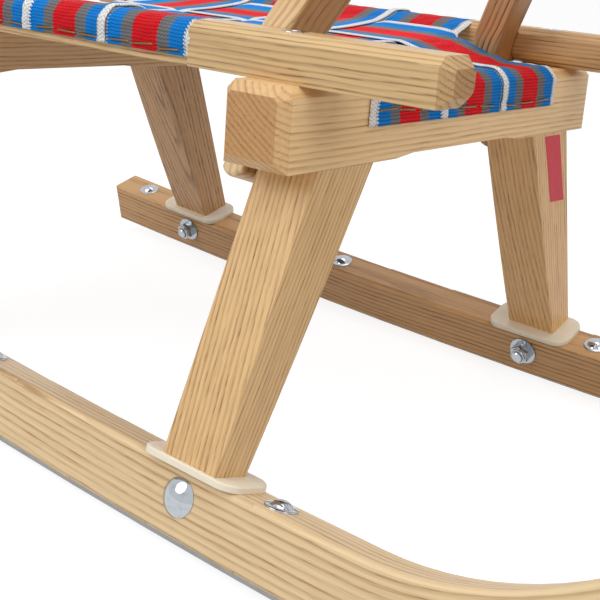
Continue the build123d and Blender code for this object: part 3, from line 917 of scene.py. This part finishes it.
# Bare label on the far front leg
label = {
    "corners": [(-0.06, 104.2, -1.7), (-0.06, 125.2, -1.8), (-1.65, 147.4, -49.9), (-1.65, 127.8, -49.4)],
    "thick": 0.18, "round": 0.8, "off": 0.02, "colour": paint(222, 34, 62), "dark": paint(206, 26, 52),
    "marks": 350.0, "rough": 0.28, "spread": 0.2, "relief": 0.00004,
}


def makeLabel():
    material, s, shader = newMaterial("plainRedLabel", Specular_IOR_Level=0.25)
    patches = s.marks(label["marks"])["Patches"]
    s.feed(shader.inputs, {
        "Base Color": s.mix(patches, label["colour"], label["dark"]),
        "Roughness": s.timesPlus(patches, label["spread"], label["rough"]),
        "Normal": s.bump(0.3, label["relief"], patches),
    })
    bm = bmesh.new()
    bm.faces.new([bm.verts.new(place(*corner)) for corner in label["corners"]])
    bmesh.ops.bevel(
        bm, geom=bm.verts[:], offset=label["round"] * mm, affect="VERTICES", segments=4, profile=0.5, material=-1)
    bm.normal_update()
    face = bm.faces[:][0]
    outwards = turn(1, 0, 0)
    if face.normal.dot(outwards) < 0:
        bmesh.ops.reverse_faces(bm, faces=[face])
    made = bmesh.ops.extrude_face_region(bm, geom=[face])["geom"]
    bmesh.ops.translate(bm, verts=onlyOf(bmesh.types.BMVert, made), vec=outwards * (label["thick"] * mm))
    bmesh.ops.translate(bm, verts=bm.verts, vec=outwards * (label["off"] * mm))
    bmesh.ops.recalc_face_normals(bm, faces=bm.faces)
    finishPiece(bm, "plain_label", material, smoothShade=False)


makeLabel()
print("label done")


# Bolts with smooth heads
runnerLine = {"low": 154.0, "radius": 6270.0, "height": 39.05, "reach": 201.5, "drop": 191.9, "width": 28.0}
cupBolt = {"places": {"front": -26.5, "rear": -378.1}, "rise": 24.5, "size": 20.65, "height": 4.6, "rim": 0.4,
           "shank": 8.0, "length": 39.6, "bevel": 0.8}
railBolt = {"head": 14.2, "proud": 0.45, "socket": 5.0, "sunk": 2.4, "cone": 3.2, "shank": 6.0, "length": 46.5,
            "aside": 13.95}  # from the rail's outer face
stripBolt = {"places": [26.2, -209.0, -441.5], "flange": 17.6, "flangeThick": 1.0, "size": 12.6, "height": 4.1,
             "shank": 6.0, "length": 20.0}


def onRunner(x, up, across, way):
    # A place on the runner with its axes along the bar, up its face and outwards
    heading = math.asin((x - runnerLine["low"]) / (runnerLine["radius"] - up))
    level = runnerLine["radius"] - (runnerLine["radius"] - up) * math.cos(heading)
    spot = (x, way * (runnerLine["reach"] - math.sin(lean) * level - math.cos(lean) * across),
            -runnerLine["drop"] + math.cos(lean) * level - math.sin(lean) * across)
    upward = turn(-math.sin(heading), -way * math.sin(lean) * math.cos(heading), math.cos(lean) * math.cos(heading))
    return place(*spot), upward, turn(0, way * math.cos(lean), math.sin(lean))


def domeArc(size, base, height, steps=14):
    # Radius and height along a dome, from its pole to its rim
    tall = height - base
    radius = ((size / 2) ** 2 + tall ** 2) / (2 * tall)
    angles = [math.asin(size / 2 / radius) * k / steps for k in range(steps + 1)]
    return [(radius * math.sin(angle), height - radius * (1 - math.cos(angle))) for angle in angles]


def turned(bm, outline, spot, axis, steps=64):
    # Spins an outline of (radius, height) pairs about the axis at the spot
    verts = [bm.verts.new((radius, 0, height)) for radius, height in outline]
    edges = [bm.edges.new(pair) for pair in zip(verts, verts[1:])]
    before = set(bm.verts) - set(verts)
    bmesh.ops.spin(
        bm, geom=verts + edges, cent=(0, 0, 0), axis=(0, 0, 1), angle=math.tau, steps=steps, use_merge=True)
    mine = [v for v in bm.verts if v not in before]
    where = Matrix.Translation(spot) @ axis.to_track_quat("Z", "Y").to_matrix().to_4x4() @ Matrix.Scale(mm, 4)
    bmesh.ops.transform(bm, matrix=where, verts=mine)


def closedPiece(bm, name, material):
    bmesh.ops.remove_doubles(bm, verts=bm.verts, dist=0.000004)
    bmesh.ops.recalc_face_normals(bm, faces=bm.faces)
    return finishPiece(bm, name, material)


def metalPiece(bm, name, node, material):
    piece = closedPiece(bm, name, material)
    piece.data.set_sharp_from_angle(angle=math.radians(32))
    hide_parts(node)


def makeBolts():
    c, p, r, proud = cupBolt, stripBolt, railBolt, railBolt["proud"]
    cupShank, panShank, railShank = c["shank"] / 2, p["shank"] / 2, r["shank"] / 2
    cup = domeArc(c["size"], c["rim"], c["height"]) + [
        (c["size"] / 2, 0), (cupShank, 0), (cupShank, c["bevel"] - c["length"]),
        (cupShank - c["bevel"], -c["length"]), (0, -c["length"])]
    flange, thick = p["flange"] / 2, p["flangeThick"]
    pan = domeArc(p["size"], thick, p["height"]) + [
        (flange - 0.5, thick - 0.2), (flange - 0.1, thick - 0.45), (flange, 0.3), (flange, 0),
        (panShank, 0), (panShank, -p["length"]), (0, -p["length"])]
    head, socket = r["head"] / 2, r["socket"] / 2
    flush = [(0, -r["sunk"]), (socket, -r["sunk"]), (socket, proud - 0.35), (socket + 0.4, proud),
             (head - 0.9, proud - 0.05), (head - 0.2, proud - 0.25), (head, -0.1),
             (railShank, -r["cone"]), (railShank, -r["length"]), (0, -r["length"])]
    fronts = {"front": 0.0, "rear": -wood["spacing"]}
    for side, way in sides.items():
        for end, x in fronts.items():
            bm = bmesh.new()
            across = way * (wood["railOuter"] - r["aside"])
            turned(bm, flush, place(x - wood["beamDepth"] / 2, across, wood["railTop"]), turn(0, 0, 1))
            metalPiece(bm, f"flush_bolt_{end}_{side}", f"rail_bolt_{end}_{side}", brightMetal)
        for end, x in c["places"].items():
            bm = bmesh.new()
            spot, _, outward = onRunner(x, c["rise"], 0, way)
            turned(bm, cup, spot, outward)
            metalPiece(bm, f"carriage_bolt_{end}_{side}", f"cup_bolt_{end}_{side}", brightMetal)
        bm = bmesh.new()
        for x in p["places"]:
            spot, upward, _ = onRunner(x, runnerLine["height"], runnerLine["width"] / 2, way)
            turned(bm, pan, spot, upward)
        metalPiece(bm, f"flanged_bolts_{side}", f"strip_bolts_{side}", brightMetal)


makeBolts()
print("bolts done")


# Lock nuts
lockNut = {"flats": 13.0, "height": 6.4, "collar": 5.7, "collarHeight": 1.6, "bevel": 0.9, "ring": 4.9,
           "thread": 3.9, "tall": 8.0,  # tall: the whole nut, as the frame's box has it
           "nylon": paint(236, 238, 240), "nylonDark": paint(206, 212, 220), "marks": 600.0}


def makeNuts():
    n = lockNut
    nylon, s, shader = newMaterial("nylonRing", Roughness=0.5)
    s.feed(shader.inputs, {"Base Color": s.mix(s.marks(n["marks"])["Patches"], n["nylon"], n["nylonDark"])})
    hexTop, top = n["height"], n["height"] + n["collarHeight"]
    ring, thread, rim = n["ring"], n["thread"], n["collar"]
    collar = [(0, hexTop - 0.6), (rim, hexTop - 0.6), (rim, top - 0.5), (rim - 0.15, top - 0.15), (rim - 0.5, top),
              (ring, top - 0.1), (ring, top - 1.1), (0, top - 1.1)]
    nylonRing = [(thread, top - 1.2), (ring + 0.05, top - 1.2), (ring + 0.05, top - 0.35), (thread + 0.2, top - 0.3),
                 (thread, top - 0.5), (thread, top - 1.2)]
    radius = n["flats"] / 2 / math.cos(math.pi / 6)
    for end in ("front", "rear"):
        for side, way in sides.items():
            inwards = turn(0, -way * math.cos(lean), -math.sin(lean))
            foot = middleOf(f"nut_{end}_{side}") - inwards * (n["tall"] / 2 * mm)
            axes = inwards.to_track_quat("Z", "Y").to_matrix().to_4x4()
            bm = bmesh.new()
            bmesh.ops.create_cone(bm, cap_ends=True, segments=6, radius1=radius, radius2=radius, depth=hexTop)
            bmesh.ops.translate(bm, verts=bm.verts, vec=(0, 0, hexTop / 2))
            bmesh.ops.bevel(
                bm, geom=bm.verts[:], offset=n["bevel"], affect="VERTICES", segments=3, profile=0.5, material=-1)
            bmesh.ops.transform(bm, matrix=Matrix.Translation(foot) @ axes @ Matrix.Scale(mm, 4), verts=bm.verts)
            turned(bm, collar, foot, inwards, 40)
            metalPiece(bm, f"lock_nut_{end}_{side}", f"nut_{end}_{side}", zincMetal)
            bm = bmesh.new()
            turned(bm, nylonRing, foot, inwards, 40)
            closedPiece(bm, f"nylon_ring_{end}_{side}", nylon)


makeNuts()
print("nuts done")


# Floor, world and lamps
# The floor and the world look white to the camera, and the floor keeps the sled's shadow. Everything else is lit
# by the plainer "bounce" and "fill".
stage = {"floor": 12.0, "keep": 0.84, "catch": 0.32, "bounce": 0.60, "fill": 0.40}
lamps = [
    {"name": "windowLeft", "from": (-0.75, -1.55, 1.35), "size": 1.7, "level": 0.44},
    {"name": "windowRight", "from": (1.75, -0.35, 1.10), "size": 1.2, "level": 0.23},
    {"name": "ceiling", "from": (0.10, 0.10, 2.10), "size": 1.8, "level": 0.29},
]
lampRise = 0.2


def backgroundRay(s):
    path = s.add("ShaderNodeLightPath").outputs
    seen = s.plus(path["Is Camera Ray"], path["Is Glossy Ray"])
    return s.plus(seen, path["Is Transmission Ray"], clamp=True)


def makeFloor():
    material = bpy.data.materials.new("paleFloor")
    material.use_nodes = True
    s = Sketch(material.node_tree)
    plain, catch = (s.add("ShaderNodeBsdfDiffuse", {"Color": (stage[name],) * 3 + (1,)}).outputs[0]
                    for name in ("bounce", "catch"))
    glow = s.add("ShaderNodeEmission", {"Color": (1, 1, 1, 1), "Strength": stage["keep"]}).outputs[0]
    white = s.add("ShaderNodeAddShader", {0: catch, 1: glow}).outputs[0]
    mixed = s.add("ShaderNodeMixShader", {0: backgroundRay(s), 1: plain, 2: white}).outputs[0]
    s.feed(material.node_tree.nodes["Material Output"].inputs, {"Surface": mixed})
    bm = bmesh.new()
    bmesh.ops.create_grid(bm, x_segments=1, y_segments=1, size=stage["floor"])
    meshObject(bm, "floor", material)


def makeWorld():
    world = bpy.data.worlds.new("softRoom")
    bpy.context.scene.world = world
    world.use_nodes = True
    s = Sketch(world.node_tree)
    amount = s.add("ShaderNodeMapRange", {0: backgroundRay(s), 3: stage["fill"], 4: 1.0}).outputs[0]
    s.feed(world.node_tree.nodes["Background"].inputs, {"Color": (1, 1, 1, 1), "Strength": amount})


def makeLamps():
    for lamp in lamps:
        data = bpy.data.lights.new(lamp["name"], "AREA")
        data.shape = "DISK"
        data.size = lamp["size"]
        data.energy = lamp["level"] * math.pi ** 2 * Vector(lamp["from"]).length ** 2
        made = addObject(lamp["name"], data)
        made.location = Vector(lamp["from"]) + Vector((0, 0, lampRise))
        made.rotation_euler = (-Vector(lamp["from"])).to_track_quat("-Z", "Y").to_euler()


makeFloor()
makeWorld()
makeLamps()
bpy.context.scene.view_settings.view_transform = "Standard"
print("stage done")
